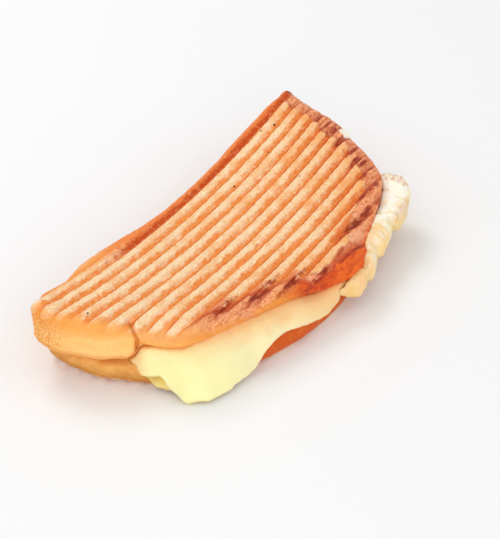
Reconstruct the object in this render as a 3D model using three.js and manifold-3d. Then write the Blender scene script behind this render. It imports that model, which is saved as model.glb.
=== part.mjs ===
// A toasted cheese sandwich, pressed between the ribbed plates of a grill.
// Two slices of bread hold melted cheese, which shows along one long side, runs down to the
// surface at the near corner, and hangs out in a folded slice at the far side.
// The solids are first laid out flat, with s along the ribs, v across them from the straight
// long edge, and a depth below the top face. Then they are bent along their length.
import * as THREE from "three";
import { mergeVertices } from "three/addons/utils/BufferGeometryUtils.js";
import Module from "manifold-3d";

const wasm = await Module();
wasm.setup();

// Driving dimensions, in millimetres.
const LENGTH = 226; // of the top slice, along the ribs
const THICKNESS = 28; // of the whole, at the lowest point of the top face
const BEND_RADIUS = 513; // of the top face, which is hollow along its length
const BEND_CENTRE = 100; // where along the length the top face is lowest
const REST_START = 30; // the underside lies flat from here
const REST_END = 125; // to here, and curls up beyond
const NEAR_LIFT = 3; // of the underside at the near end
const FAR_LIFT = 16; // of the underside at the far end

const RIB_PITCH = 7.5; // from one pressed groove to the next
const FIRST_GROOVE = 8.5; // from the straight edge to the first whole groove
const GROOVES = 13;
const GROOVE_HALF = 2; // half the width of a groove at its mouth
const GROOVE_DEPTH = 1.6;

const TOP_SLICE = 12; // thickness of the top slice in the middle
const CHEESE = 5.5; // thickness of the cheese in the middle

const END_CRUST = 10; // how much further the crust folds down over the near end
const END_REACH = 22; // length of that fold of crust, in from the end
const END_FADE = 14; // length over which it runs out there
const END_SLANT = 0.4; // how much further in it lies, for each millimetre across
const END_SLANT_START = 20; // where across the end that slant begins
const END_CREASE = 54; // where across the end the fold of crust stops
const END_CREASE_FADE = 5.5; // width over which it runs out there

const SIDE_RISE = 6; // how much thinner the top slice gets along the cheese side
const SIDE_REACH = 20; // width of that thinner strip
const SIDE_LINE = { s: 13, v: 62, slope: 0.4 }; // the straight line that the strip follows
const SIDE_RAMP = [24, 52]; // where along the ribs the strip comes to its full depth
const SIDE_FADE = [108, 80]; // and where it runs out

const EDGE_PINCH = 3; // how much of the cheese the straight edge squeezes out
const EDGE_REACH = 14; // width of the squeezed strip

const ROUND_DROP = 2.6; // how far the top face has sunk where it meets its edge
const ROUND_REACH = 10; // how far in from the edge it starts to sink
const ROUND_LEAST = 0.3; // how much of that sinking there is over the near end
const ROUND_ACROSS = [46, 60]; // where across the end it comes to the whole of it
const ROUND_ALONG = [60, 120]; // and where along the ribs
const SHOULDER_DROP = 5; // how much further it sinks at the widest place
const SHOULDER_REACH = 15; // how far in from the edge that shoulder starts
const SHOULDER_ALONG = { ramp: [90, 122], fade: [178, 150] };
const SHOULDER_ACROSS = [72, 90];
const CORNER_DROP = 3.2; // how far the near corner of the cheese side is pressed down
const CORNER_REACH = 22; // size of that pressed corner
const CORNER_PLACE = [20, 60]; // where it is

const GAP = 0.4; // between touching pieces
const SEAM = 0.8; // between the slices, where the fold of crust lies on the lower one
const SAMPLES = 720; // along an outline
const CORNER = 9; // length over which an outline's corner is taken as turning
const MERGE = 1e-4; // points nearer than this are one point

// Smooth step from 0 to 1 as x goes from one value to another, which may be the smaller one.
const step = (x, from, to) => THREE.MathUtils.smoothstep((x - from) / (to - from), 0, 1);
const mix = THREE.MathUtils.lerp;

// Angle of the bend at s, and height of the top face there.
const bendAngle = (s) => (s - BEND_CENTRE) / BEND_RADIUS;
const topHeight = (s) => THICKNESS + BEND_RADIUS * (1 - Math.cos(bendAngle(s)));

// Height of the underside at s: flat in the middle, lifted at both ends.
function undersideHeight(s) {
  const near = Math.max(0, (REST_START - s) / REST_START);
  const far = Math.max(0, (s - REST_END) / (LENGTH - REST_END));
  return NEAR_LIFT * near ** 2 + FAR_LIFT * far ** 2;
}

// Depth below the top face of a height above the surface that the sandwich lies on.
const depthOf = (s, height) => (topHeight(s) - height) / Math.cos(bendAngle(s));
const fullDepth = (s) => depthOf(s, undersideHeight(s));

// Place in space of a point of the flat layout.
function bend(s, v, depth) {
  const angle = bendAngle(s);
  return [
    BEND_CENTRE + (BEND_RADIUS + depth) * Math.sin(angle),
    -v,
    topHeight(s) - depth * Math.cos(angle),
  ];
}

// How far a point belongs to the near end's fold of crust, from 0 to 1.
function endFold(s, v) {
  const fromEnd = s - END_SLANT * Math.max(0, v - END_SLANT_START);
  const along = step(fromEnd, END_REACH, END_REACH - END_FADE);
  return along * step(v, END_CREASE, END_CREASE - END_CREASE_FADE);
}

// How far a point belongs to the thin strip along the cheese side, from 0 to 1.
function sideStrip(s, v) {
  const edge = SIDE_LINE.v + SIDE_LINE.slope * (s - SIDE_LINE.s);
  return step(v, edge - SIDE_REACH, edge) * step(s, ...SIDE_RAMP) * step(s, ...SIDE_FADE);
}

// How far a point belongs to the squeezed strip along the straight edge, from 0 to 1.
const edgeStrip = (v) => step(v, EDGE_REACH, 0);

// Depth of the top slice's lower face, and of the bottom slice's upper face.
function cheeseTop(s, v) {
  const fold = endFold(s, v);
  const rest = TOP_SLICE - SIDE_RISE * sideStrip(s, v) + (EDGE_PINCH / 2) * edgeStrip(v);
  return mix(rest, TOP_SLICE + END_CRUST, fold);
}

function cheeseBase(s, v) {
  const rest = TOP_SLICE + CHEESE - (EDGE_PINCH / 2) * edgeStrip(v);
  return mix(rest, TOP_SLICE + END_CRUST + SEAM, endFold(s, v));
}

// A closed outline in the flat layout. It runs from the straight edge round the near end and
// along the cheese side to its crown, and back round the far end.
class Outline {
  constructor(corners) {
    const path = corners.map(([s, v]) => new THREE.Vector3(s, v, 0));
    const curve = new THREE.CatmullRomCurve3(path, true, "centripetal");
    curve.arcLengthDivisions = 4 * SAMPLES;
    this.points = curve.getSpacedPoints(SAMPLES).slice(0, SAMPLES);
    this.crown = this.points.reduce((best, p, i, all) => (p.y > all[best].y ? i : best), 0);
    const reach = Math.round((CORNER * SAMPLES) / curve.getLength());
    this.outward = this.points.map((_, i) => {
      const along = new THREE.Vector3();
      for (let k = -reach; k <= reach; k++)
        along.add(this.point(i + k + 1)).sub(this.point(i + k - 1));
      return new THREE.Vector3(-along.y, along.x, 0).normalize();
    });
  }

  point(i) {
    return this.points[(i + 2 * SAMPLES) % SAMPLES];
  }

  // The point at place i, which need not be whole, moved in from the outline by inset.
  at(i, inset) {
    const whole = Math.floor(i);
    const part = i - whole;
    const p = this.point(whole).clone().lerp(this.point(whole + 1), part);
    const a = this.outward[(whole + 2 * SAMPLES) % SAMPLES];
    const b = this.outward[(whole + 1 + 2 * SAMPLES) % SAMPLES];
    return p.sub(a.clone().lerp(b, part).normalize().multiplyScalar(inset));
  }

  // The place of the outline nearest to a point.
  nearest(p) {
    let best = 0;
    for (let i = 1; i < SAMPLES; i++)
      if (this.points[i].distanceToSquared(p) < this.points[best].distanceToSquared(p)) best = i;
    const before = this.point(best - 1);
    const along = this.point(best + 1).clone().sub(before);
    return best - 1 + (2 * p.clone().sub(before).dot(along)) / along.lengthSq();
  }
}

// Builds a closed mesh: triangles between numbered points.
class Shell {
  constructor() {
    this.points = [];
    this.faces = [];
  }

  add(s, v, depth) {
    this.points.push(bend(s, v, depth));
    return this.points.length - 1;
  }

  triangle(a, b, c) {
    if (a !== b && b !== c && c !== a) this.faces.push(a, b, c);
  }

  quad(a, b, c, d) {
    this.triangle(a, b, c);
    this.triangle(a, c, d);
  }

  geometry() {
    const shape = new THREE.BufferGeometry();
    shape.setAttribute("position", new THREE.Float32BufferAttribute(this.points.flat(), 3));
    shape.setIndex(this.faces);
    return shape;
  }
}

// A layer of the sandwich. Its wall is a stack of rings, from the edge of the upper face down
// to the edge of the lower one, and ring(k, i) gives ring k's point at place i of the outline.
// Rows cross the faces at fixed v, so that the pressed grooves run straight along s. The face
// named by plain is smooth and keeps only every few rows.
function layer({ crown, ring, rings, rows, columns, upper, lower, plain, keep }) {
  const shell = new Shell();
  const last = rings - 1;
  const rowRing = plain === "upper" ? last : 0;

  // Walks from the crown one way round the edge of the rows until it comes down to v.
  const placeOf = (v, way) => {
    let i = crown;
    while (ring(rowRing, i + way).v > v) i += way;
    const above = ring(rowRing, i).v;
    return i + (way * (above - v)) / (above - ring(rowRing, i + way).v);
  };
  const near = rows.map((v) => placeOf(v, -1));
  const far = rows.map((v) => placeOf(v, 1));
  const end = rows.length - 1;
  const between = (a, b) =>
    Array.from({ length: columns - 1 }, (_, c) => mix(a, b, (c + 1) / columns));
  const along = (c) => mix(c / columns, (1 - Math.cos((Math.PI * c) / columns)) / 2, 0.5);
  const crownPlaces = between(near[end], far[end]);
  const backPlaces = between(near[0] + SAMPLES, far[0]);
  const loop = [...near, ...crownPlaces, ...far.toReversed(), ...backPlaces.toReversed()];

  const walls = [];
  for (let k = 0; k < rings; k++)
    walls.push(loop.map((i) => ring(k, i)).map((p) => shell.add(p.s, p.v, p.depth)));
  for (let k = 0; k < last; k++)
    loop.forEach((_, i) => {
      const next = (i + 1) % loop.length;
      shell.quad(walls[k][i], walls[k + 1][i], walls[k + 1][next], walls[k][next]);
    });

  for (const [k, level, up] of [
    [0, upper, true],
    [last, lower, false],
  ]) {
    const flip = up ? 1 : -1;
    const tri = (a, b, c) => (flip > 0 ? shell.triangle(a, b, c) : shell.triangle(a, c, b));
    const quad = (a, b, c, d) => (flip > 0 ? shell.quad(a, b, c, d) : shell.quad(a, d, c, b));
    const wall = walls[k];
    const nearEdge = wall.slice(0, end + 1);
    const farEdge = wall.slice(end + columns, 2 * end + columns + 1).toReversed();
    const crownRow = [nearEdge[end], ...wall.slice(end + 1, end + columns), farEdge[end]];
    const backRow = [nearEdge[0], ...wall.slice(2 * end + columns + 1).toReversed(), farEdge[0]];
    const smooth = (plain === "upper") === up;
    const kept = rows.map((_, j) => j).filter((j) => !smooth || j % keep === 0 || j === end);
    const inner = kept.map((j) => {
      const from = ring(k, near[j]);
      const to = ring(k, far[j]);
      const row = [nearEdge[j]];
      for (let c = 1; c < columns; c++) {
        const s = mix(from.s, to.s, along(c));
        const v = mix(from.v, to.v, along(c));
        row.push(shell.add(s, v, level(s, v, j)));
      }
      return [...row, farEdge[j]];
    });
    const strip = (a, b) => {
      for (let c = 0; c < columns; c++) quad(a[c], b[c], b[c + 1], a[c + 1]);
    };
    strip(backRow, inner[0]);
    strip(inner[inner.length - 1], crownRow);
    for (let r = 0; r + 1 < inner.length; r++) {
      const [a, b] = [inner[r], inner[r + 1]];
      for (let c = 1; c < columns - 1; c++) quad(a[c], b[c], b[c + 1], a[c + 1]);
      for (let j = kept[r]; j < kept[r + 1]; j++) {
        tri(nearEdge[j], nearEdge[j + 1], a[1]);
        tri(farEdge[j], a[columns - 1], farEdge[j + 1]);
      }
      tri(nearEdge[kept[r + 1]], b[1], a[1]);
      tri(a[columns - 1], b[columns - 1], farEdge[kept[r + 1]]);
    }
  }
  return shell.geometry();
}

// Rows across a pressed face: each groove has its two mouth edges and its bottom.
const pressedRows = [];
for (let g = 0; g < GROOVES; g++)
  for (const side of [-1, 0, 1])
    pressedRows.push(FIRST_GROOVE + g * RIB_PITCH + side * GROOVE_HALF);
const isGroove = (v) =>
  pressedRows.some((row, j) => j % 3 === 1 && Math.abs(row - v) < MERGE);

const CROWN_ROOM = 1; // between the last row and the widest place of a face
const SLICE_COLUMNS = 14;
const PLAIN_ROWS = 2; // a plain face has one row in so many

// A slice of bread. Each step of its wall has an inset from the outline, an extra inset where
// the crust folds over the near end, a place between the upper and the lower face, and how
// much of a groove's depth is left there.
function slice({ outline, wall, upper, lower, pressed }) {
  const isUpper = pressed === "upper";
  const sign = isUpper ? 1 : -1;
  const pressedStep = wall[isUpper ? 0 : wall.length - 1];
  const widest = outline.point(outline.crown).y - pressedStep.inset - CROWN_ROOM;
  const rows = pressedRows.filter((v) => v < widest);
  const dip = (v) => (isGroove(v) ? sign * GROOVE_DEPTH : 0);
  const edgeOf = ({ inset, tuck }, i) => {
    const p = outline.at(i, 0);
    return outline.at(i, inset + tuck * endFold(p.x, p.y));
  };
  const ring = (k, i) => {
    const { share, groove } = wall[k];
    const p = edgeOf(wall[k], i);
    const depth = mix(upper(p.x, p.y), lower(p.x, p.y), share);
    return { s: p.x, v: p.y, depth: depth + groove * dip(edgeOf(pressedStep, i).y) };
  };
  return layer({
    crown: outline.crown,
    ring,
    rings: wall.length,
    rows,
    columns: SLICE_COLUMNS,
    upper: (s, v, j) => upper(s, v) + (isUpper ? dip(rows[j]) : 0),
    lower: (s, v, j) => lower(s, v) + (isUpper ? 0 : dip(rows[j])),
    plain: isUpper ? "lower" : "upper",
    keep: PLAIN_ROWS,
  });
}

const topOutline = new Outline([
  [5, 0.5],
  [1.2, 9],
  [0.2, 20],
  [4, 30],
  [7.5, 39],
  [14, 46],
  [19, 56],
  [22.5, 65],
  [29, 73.5],
  [39, 79],
  [60, 86],
  [84, 93.5],
  [108, 102],
  [126, 107.5],
  [139, 104],
  [149, 98],
  [160, 95],
  [171, 92.2],
  [181, 88.6],
  [191, 83.4],
  [201, 70.5],
  [209, 56],
  [216.5, 43],
  [222, 25],
  [226.5, 9],
  [228, 3.5],
  [222, 2.6],
  [187, 1.1],
  [147, 1.8],
  [95, 0],
  [66, -3],
  [53, -4],
  [36, 0.2],
]);
const bottomOutline = new Outline([
  [18, 2],
  [12.5, 7],
  [11, 15],
  [10.5, 26],
  [11.5, 37],
  [16, 47],
  [20.5, 57],
  [27, 69],
  [36, 80],
  [48, 89],
  [61, 94],
  [71, 97.3],
  [84, 101],
  [99, 103.2],
  [115, 103.8],
  [126, 103],
  [138, 101],
  [155, 96.5],
  [172, 91],
  [187, 82],
  [199, 67],
  [208, 51],
  [215, 33],
  [220, 6],
  [185, 2.5],
  [140, 2],
  [90, 0.8],
  [50, 0],
]);

// Depth of the top slice's pressed face, which sinks towards its edge, least at the near end.
function topFace(s, v) {
  const p = new THREE.Vector3(s, v, 0);
  const inside = topOutline.at(topOutline.nearest(p), 0).distanceTo(p);
  const share = Math.max(ROUND_LEAST, step(v, ...ROUND_ACROSS), step(s, ...ROUND_ALONG));
  const round = share * ROUND_DROP * Math.max(0, 1 - inside / ROUND_REACH) ** 2;
  const { ramp, fade } = SHOULDER_ALONG;
  const widest = step(s, ...ramp) * step(s, ...fade) * step(v, ...SHOULDER_ACROSS);
  const shoulder = widest * SHOULDER_DROP * Math.max(0, 1 - inside / SHOULDER_REACH) ** 2;
  const fromCorner = Math.hypot(s - CORNER_PLACE[0], v - CORNER_PLACE[1]);
  return round + shoulder + CORNER_DROP * step(fromCorner, CORNER_REACH, 0);
}

const topSlice = {
  outline: topOutline,
  upper: topFace,
  lower: cheeseTop,
  pressed: "upper",
  wall: [
    { inset: 3, tuck: 0, share: 0, groove: 1 },
    { inset: 0.4, tuck: 0, share: 0.06, groove: 0.8 },
    { inset: -0.9, tuck: 0, share: 0.22, groove: 0.35 },
    { inset: -1.3, tuck: 0, share: 0.45, groove: 0 },
    { inset: 0.6, tuck: -0.8, share: 0.72, groove: 0 },
    { inset: 2.8, tuck: -0.1, share: 0.93, groove: 0 },
    { inset: 6.3, tuck: 1.7, share: 1, groove: 0 },
  ],
};
const bottomSlice = {
  outline: bottomOutline,
  upper: cheeseBase,
  lower: (s) => fullDepth(s),
  pressed: "lower",
  wall: [
    { inset: 4, tuck: 0, share: 0, groove: 0 },
    { inset: 1.2, tuck: 0, share: 0.1, groove: 0 },
    { inset: 0, tuck: 0, share: 0.4, groove: 0 },
    { inset: 0.5, tuck: 0.6, share: 0.68, groove: 0 },
    { inset: 2, tuck: 1.6, share: 0.9, groove: 0 },
    { inset: 4.6, tuck: 2.6, share: 1, groove: 0.7 },
  ],
};

// The melted cheese, where it shows: it leaves the crust of the top slice, swells out and ends
// in a rim that hugs the bottom slice. At the near corner the rim lies on the surface below.
const cheeseOutline = new Outline([
  [36, 5],
  [31, 13],
  [30, 26],
  [31, 38],
  [23, 45.5],
  [16.8, 50.5],
  [17.6, 54.5],
  [20.3, 60],
  [22, 66],
  [22.3, 76],
  [21.5, 84],
  [27, 88.3],
  [35, 91.5],
  [45, 93.2],
  [57, 95],
  [65, 97.3],
  [72, 96],
  [84, 100.5],
  [97, 104],
  [111, 104.5],
  [122, 102],
  [134, 97],
  [150, 92],
  [168, 87.5],
  [184, 79],
  [196, 63],
  [205, 47],
  [211, 31],
  [214, 11],
  [185, 6],
  [140, 6],
  [90, 4.5],
  [55, 2.5],
]);
const TONGUE_END = 51; // along the ribs, where the rim starts to leave the surface
const RIM_START = 64; // and where it has reached its greatest height
const RIM_HEIGHT = 12; // above the surface
const RIM_SAG = 6; // how much lower it comes again
const RIM_SAG_END = 112; // where along the ribs it is lowest again
const RIM_END_HEIGHT = 12.5; // height of the rim above the surface at the near end's crease
const RIM_END_ACROSS = [59.5, 53]; // where across the end it climbs to that
const LIP = 0.4; // how far in from the edge of the crust the cheese comes out
const END_LIP = 14; // how much further in, under the fold of crust at the end
const BURIED = 8; // how far in its hidden rings lie, which the slices cut to their form
const OVER = 2; // how far into the top slice the cheese is first made
const UNDER = 4; // how far into the bottom slice
const CHEESE_COLUMNS = 16;

function rimDepth(s, v) {
  const rise = RIM_HEIGHT * step(s, TONGUE_END, RIM_START);
  const sag = RIM_SAG * step(s, RIM_START, RIM_SAG_END);
  const end = RIM_END_HEIGHT * step(v, ...RIM_END_ACROSS) * step(s, TONGUE_END, END_REACH);
  return depthOf(s, rise - sag + end + undersideHeight(s));
}

// Steps down the cheese: how far from the crust's lip to its own outline, and how far down.
const CHEESE_FALL = [
  { out: 0, down: 0.03 },
  { out: 0.3, down: 0.09 },
  { out: 0.58, down: 0.24 },
  { out: 0.8, down: 0.48 },
  { out: 0.94, down: 0.76 },
  { out: 1, down: 0.95 },
  { out: 0.97, down: 1 },
];

// How far a place belongs to the tongue at the near corner, which falls in an even slope.
const TONGUE_ACROSS = [60, 80];
const TONGUE_ALONG = [64, 48];
const TONGUE_SHARE = 0.7; // of that even slope in the tongue's form
const tongue = (s, v) => step(v, ...TONGUE_ACROSS) * step(s, ...TONGUE_ALONG);
const evenFall = (out) => mix(0.06, 0.94, out);

function cheeseRing(k, i) {
  const own = cheeseOutline.at(i, 0);
  const place = topOutline.nearest(own);
  if (k === 0) {
    const p = topOutline.at(place, BURIED);
    return { s: p.x, v: p.y, depth: cheeseTop(p.x, p.y) - OVER };
  }
  if (k > CHEESE_FALL.length) {
    const p = bottomOutline.at(bottomOutline.nearest(own), BURIED);
    return { s: p.x, v: p.y, depth: cheeseBase(p.x, p.y) + UNDER };
  }
  const fall = CHEESE_FALL[k - 1];
  const edge = topOutline.at(place, 0);
  const lip = topOutline.at(place, LIP + END_LIP * endFold(edge.x, edge.y));
  const p = lip.clone().lerp(own, fall.out);
  const down = mix(fall.down, evenFall(fall.out), TONGUE_SHARE * tongue(own.x, own.y));
  return { s: p.x, v: p.y, depth: mix(cheeseTop(lip.x, lip.y), rimDepth(own.x, own.y), down) };
}

const CHEESE_ROWS = { first: 13, last: 90, pitch: 5.5 };

function cheeseBody() {
  const rows = [];
  for (let v = CHEESE_ROWS.first; v < CHEESE_ROWS.last; v += CHEESE_ROWS.pitch) rows.push(v);
  return layer({
    crown: cheeseOutline.crown,
    ring: cheeseRing,
    rings: CHEESE_FALL.length + 2,
    rows,
    columns: CHEESE_COLUMNS,
    upper: (s, v) => cheeseTop(s, v) - OVER,
    lower: (s, v) => cheeseBase(s, v) + UNDER,
    plain: "upper",
    keep: 1,
  });
}

// The slice of cheese that hangs out at the far side, in soft folds.
const FOLD_START = 113; // along the ribs, where it comes out
const FOLD_END = 194; // and where it ends
const FOLD_CREASE = 0.24; // how much of a fold's reach the creases beside it take away
const FOLD_IN = [0, 0.12]; // share of its length over which it comes out
const FOLD_OUT = [1.04, 0.96]; // and over which it goes back in
const FOLD_THIN = 0.35; // how much of its thickness is left where it goes in
const FOLD_FULL = 5.2; // how far it has to stand out to have the whole thickness
const FOLD_MIDDLE = 15.5; // depth of the middle of its thickness
const FOLD_STEPS = 32;
const FOLDS = [
  { start: 0, end: 0.22, reach: 4.2 },
  { start: 0.22, end: 0.41, reach: 5.6 },
  { start: 0.41, end: 0.67, reach: 10.4 },
  { start: 0.67, end: 1, reach: 15.2 },
];

// How far the fold stands out, at a share u of its length.
function foldReach(u) {
  const fold = FOLDS.find(({ end }) => u <= end);
  const across = (2 * (u - fold.start)) / (fold.end - fold.start) - 1;
  const ends = step(u, ...FOLD_IN) * step(u, ...FOLD_OUT);
  return fold.reach * (1 - FOLD_CREASE * across ** 4) * ends;
}

// One section across the fold: how far out, as a share of its reach, and how deep.
const FOLD_SECTION = [
  { out: 0, base: -3.4, depth: 14 },
  { out: 0, base: 0.8, depth: 12.6 },
  { out: 0.06, base: 0.8, depth: 9.6 },
  { out: 0.4, base: 0, depth: 7.8 },
  { out: 0.76, base: 0, depth: 8.4 },
  { out: 0.95, base: 0, depth: 10.8 },
  { out: 1, base: 0, depth: 14.6 },
  { out: 0.9, base: 0, depth: 18.4 },
  { out: 0.55, base: 0, depth: 20.8 },
  { out: 0.1, base: 0.6, depth: 20.2 },
  { out: 0, base: 0.8, depth: 18.4 },
  { out: 0, base: -3.4, depth: 17 },
];

// The place on the top slice's outline at s, on the cheese side.
function sidePlace(s) {
  let i = topOutline.crown;
  const way = s < topOutline.point(i).x ? -1 : 1;
  while ((topOutline.point(i).x - s) * way < 0) i += way;
  return i;
}

function foldBody() {
  const shell = new Shell();
  const [from, to] = [sidePlace(FOLD_START), sidePlace(FOLD_END)];
  const sections = [];
  for (let n = 0; n <= FOLD_STEPS; n++) {
    const u = n / FOLD_STEPS;
    const reach = foldReach(u);
    const height = Math.min(1, mix(FOLD_THIN, 1, reach / FOLD_FULL));
    const section = FOLD_SECTION.map(({ out, base, depth }) => {
      const p = topOutline.at(mix(from, to, u), -(base + out * reach));
      return shell.add(p.x, p.y, mix(FOLD_MIDDLE, depth, height));
    });
    sections.push(section);
  }
  const size = FOLD_SECTION.length;
  for (let n = 0; n < FOLD_STEPS; n++)
    for (let k = 0; k < size; k++) {
      const next = (k + 1) % size;
      shell.quad(sections[n][k], sections[n][next], sections[n + 1][next], sections[n + 1][k]);
    }
  const flat = FOLD_SECTION.map(({ out, base, depth }) =>
    new THREE.Vector2(base + out * FOLDS[0].reach, -depth));
  for (const [a, b, c] of THREE.ShapeUtils.triangulateShape(flat, [])) {
    shell.triangle(sections[0][a], sections[0][b], sections[0][c]);
    shell.triangle(sections[FOLD_STEPS][a], sections[FOLD_STEPS][c], sections[FOLD_STEPS][b]);
  }
  return shell.geometry();
}

function toSolid(geometry) {
  const merged = mergeVertices(geometry, MERGE);
  return new wasm.Manifold(
    new wasm.Mesh({
      numProp: 3,
      vertProperties: merged.attributes.position.array,
      triVerts: new Uint32Array(merged.index.array),
    }),
  );
}

// The largest single body of a solid, as a geometry.
function toGeometry(solid) {
  const bodies = solid.decompose().toSorted((a, b) => b.volume() - a.volume());
  const mesh = bodies[0].getMesh();
  const shape = new THREE.BufferGeometry();
  shape.setAttribute("position", new THREE.Float32BufferAttribute(mesh.vertProperties, 3));
  shape.setIndex([...mesh.triVerts]);
  return shape;
}

// A copy of a geometry, swollen a little all round.
function swollen(geometry) {
  const shape = geometry.clone();
  shape.computeVertexNormals();
  const { position, normal } = shape.attributes;
  for (let i = 0; i < position.count; i++) {
    const p = new THREE.Vector3().fromBufferAttribute(position, i);
    const n = new THREE.Vector3().fromBufferAttribute(normal, i);
    position.setXYZ(i, ...p.addScaledVector(n, GAP));
  }
  shape.deleteAttribute("normal");
  return shape;
}

// Cheese takes the form of what it touches, a hair's breadth away from it.
function shapedBy(neighbours, geometry) {
  const hollows = neighbours.map((neighbour) => toSolid(swollen(neighbour)));
  return toGeometry(hollows.reduce((left, hollow) => left.subtract(hollow), toSolid(geometry)));
}

function piece(name, geometry, color, roughness) {
  const material = new THREE.MeshStandardMaterial({ color, roughness, metalness: 0 });
  const mesh = new THREE.Mesh(geometry, material);
  mesh.name = name;
  return mesh;
}

const bread = [slice(topSlice), slice(bottomSlice)];
const cheeseLayer = shapedBy(bread, cheeseBody());
const cheeseFold = shapedBy([...bread, cheeseLayer], foldBody());

const toastie = new THREE.Group();
toastie.add(piece("top_slice", bread[0], 0xe39a52, 0.6));
toastie.add(piece("bottom_slice", bread[1], 0xe0a35a, 0.7));
toastie.add(piece("cheese_layer", cheeseLayer, 0xf6e39a, 0.35));
toastie.add(piece("cheese_fold", cheeseFold, 0xf8ecc4, 0.35));

// The origin is the middle of the underside of the box round the whole.
const box = new THREE.Box3().setFromObject(toastie);
const middle = box.getCenter(new THREE.Vector3());
toastie.position.set(-middle.x, -middle.y, -box.min.z);

export default toastie;
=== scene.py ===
# %% [markdown]
# # A toasted cheese sandwich
# Two slices of bread were pressed in a hot grill with ribbed faces. The cheese melted and ran
# out along one side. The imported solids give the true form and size. This script copies them,
# gives each copy the relief of real food, and paints it with procedural finishes.

# %% Load the solids
import math

import bpy
import numpy as np
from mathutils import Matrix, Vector, kdtree, noise


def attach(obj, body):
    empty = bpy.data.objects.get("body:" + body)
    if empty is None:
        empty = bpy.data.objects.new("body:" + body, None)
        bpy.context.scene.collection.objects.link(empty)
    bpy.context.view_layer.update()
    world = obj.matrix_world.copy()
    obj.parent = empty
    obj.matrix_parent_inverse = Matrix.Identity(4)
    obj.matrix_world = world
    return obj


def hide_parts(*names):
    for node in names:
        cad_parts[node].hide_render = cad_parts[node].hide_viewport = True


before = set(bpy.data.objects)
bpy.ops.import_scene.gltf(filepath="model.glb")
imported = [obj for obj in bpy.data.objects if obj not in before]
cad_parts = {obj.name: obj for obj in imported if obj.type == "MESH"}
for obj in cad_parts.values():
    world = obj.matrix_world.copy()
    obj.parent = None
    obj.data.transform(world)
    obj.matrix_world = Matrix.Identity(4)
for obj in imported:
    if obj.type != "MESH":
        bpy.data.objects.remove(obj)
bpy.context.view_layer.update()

bpy.ops.object.select_all(action="DESELECT")
MM = 0.001
print("solids:", ", ".join(sorted(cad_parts)))

# %% [markdown]
# ## The view
# A long lens from well above, looking at the cheese side and the near end. The camera is aimed
# at a point by turning its own -Z axis towards it, because a Track To constraint would stay live.

# %% Camera
LOOK_AT = Vector((-13.41, -7.77, 19.0)) * MM
CAMERA_AZIMUTH = math.radians(-57.95)
CAMERA_ELEVATION = math.radians(35.92)
CAMERA_DISTANCE = 837.2 * MM
FOCAL_LENGTH = 113.7
CLIP_END = 10.0


def seen_from(azimuth, elevation):
    """The direction from the object to a place round it."""
    level = math.cos(elevation)
    return Vector((math.sin(azimuth) * level, -math.cos(azimuth) * level, math.sin(elevation)))


def aim(thing, azimuth, elevation, distance, target):
    """Puts a camera or a lamp round a target and turns it to look there."""
    back = seen_from(azimuth, elevation)
    thing.location = target + back * distance
    thing.rotation_euler = (-back).to_track_quat("-Z", "Y").to_euler()


bpy.ops.object.camera_add()
camera = bpy.context.active_object
camera.data.lens = FOCAL_LENGTH
camera.data.clip_end = CLIP_END
aim(camera, CAMERA_AZIMUTH, CAMERA_ELEVATION, CAMERA_DISTANCE, LOOK_AT)
bpy.context.scene.camera = camera
print("camera at", [round(c, 3) for c in camera.location])

# %% [markdown]
# ## The light
# White surroundings give most of the light, so that no side of the food is gloomy. A lamp behind
# draws the relief of the pressed face, and a low one in front lifts the cheese side. The plain
# view transform keeps pale colours clean.

# %% Floor and surroundings
FLOOR_SIZE = 8.0
FLOOR_DROP = 0.1 * MM
SURROUND_STRENGTH = 0.66
WHITE = (1.0, 1.0, 1.0, 1.0)

bpy.ops.mesh.primitive_plane_add(size=FLOOR_SIZE, location=(0, 0, -FLOOR_DROP))
floor = bpy.context.active_object
floor.name = "floor"

surroundings = bpy.data.worlds.new("white_surroundings")
surroundings.use_nodes = True
background = surroundings.node_tree.nodes["Background"]
background.inputs["Color"].default_value = WHITE
background.inputs["Strength"].default_value = SURROUND_STRENGTH
bpy.context.scene.world = surroundings
bpy.context.scene.view_settings.view_transform = "Standard"
print("floor:", FLOOR_SIZE, "m across, light around:", SURROUND_STRENGTH)

# %% Lamps
LAMPS = [
    # name, azimuth, elevation, distance, size, power
    ("key", 160, 52, 1.2, 0.5, 3.6),
    ("left", -115, 45, 1.2, 0.8, 1.5),
    ("right", 20, 38, 1.3, 0.9, 1.4),
    ("front", -50, 20, 1.3, 0.9, 4.4),
]

for name, azimuth, elevation, distance, size, power in LAMPS:
    bpy.ops.object.light_add(type="AREA")
    lamp = bpy.context.active_object
    lamp.name = name + "_lamp"
    lamp.data.size = size
    lamp.data.energy = power
    aim(lamp, math.radians(azimuth), math.radians(elevation), distance, LOOK_AT)
print("lamps:", len(LAMPS))

# %% [markdown]
# ## Measuring on a bent sandwich
# The sandwich is hollow along its length, as if bent round a big drum. Unbending it gives each
# point three plain numbers, in millimetres: how far along the ribs it lies, how far across
# them, and how deep below the pressed face. All relief and browning is worked out in those.

# %% Unbend
BEND_RADIUS = 513
BEND_ALONG = 100
BEND_X = -13.41
THICKNESS = 28
EDGE_Y = 53.63
RIB_PITCH = 7.5
FIRST_GROOVE = 8.5


def flat(points):
    """How far along the ribs, across them and below the top face points lie."""
    x = points[:, 0] / MM - BEND_X
    below = THICKNESS + BEND_RADIUS - points[:, 2] / MM
    along = BEND_ALONG + BEND_RADIUS * np.arctan2(x, below)
    return along, EDGE_Y - points[:, 1] / MM, np.hypot(x, below) - BEND_RADIUS


origin = [round(float(number[0]), 1) for number in flat(np.zeros((1, 3)))]
print("the origin lies along, across and below the top face:", origin)

# %% [markdown]
# ## Soft borders
# Relief and browning never begin or end sharply. Two small curves draw every border: a smooth
# step from nothing to all, and a bell round one place.

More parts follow.
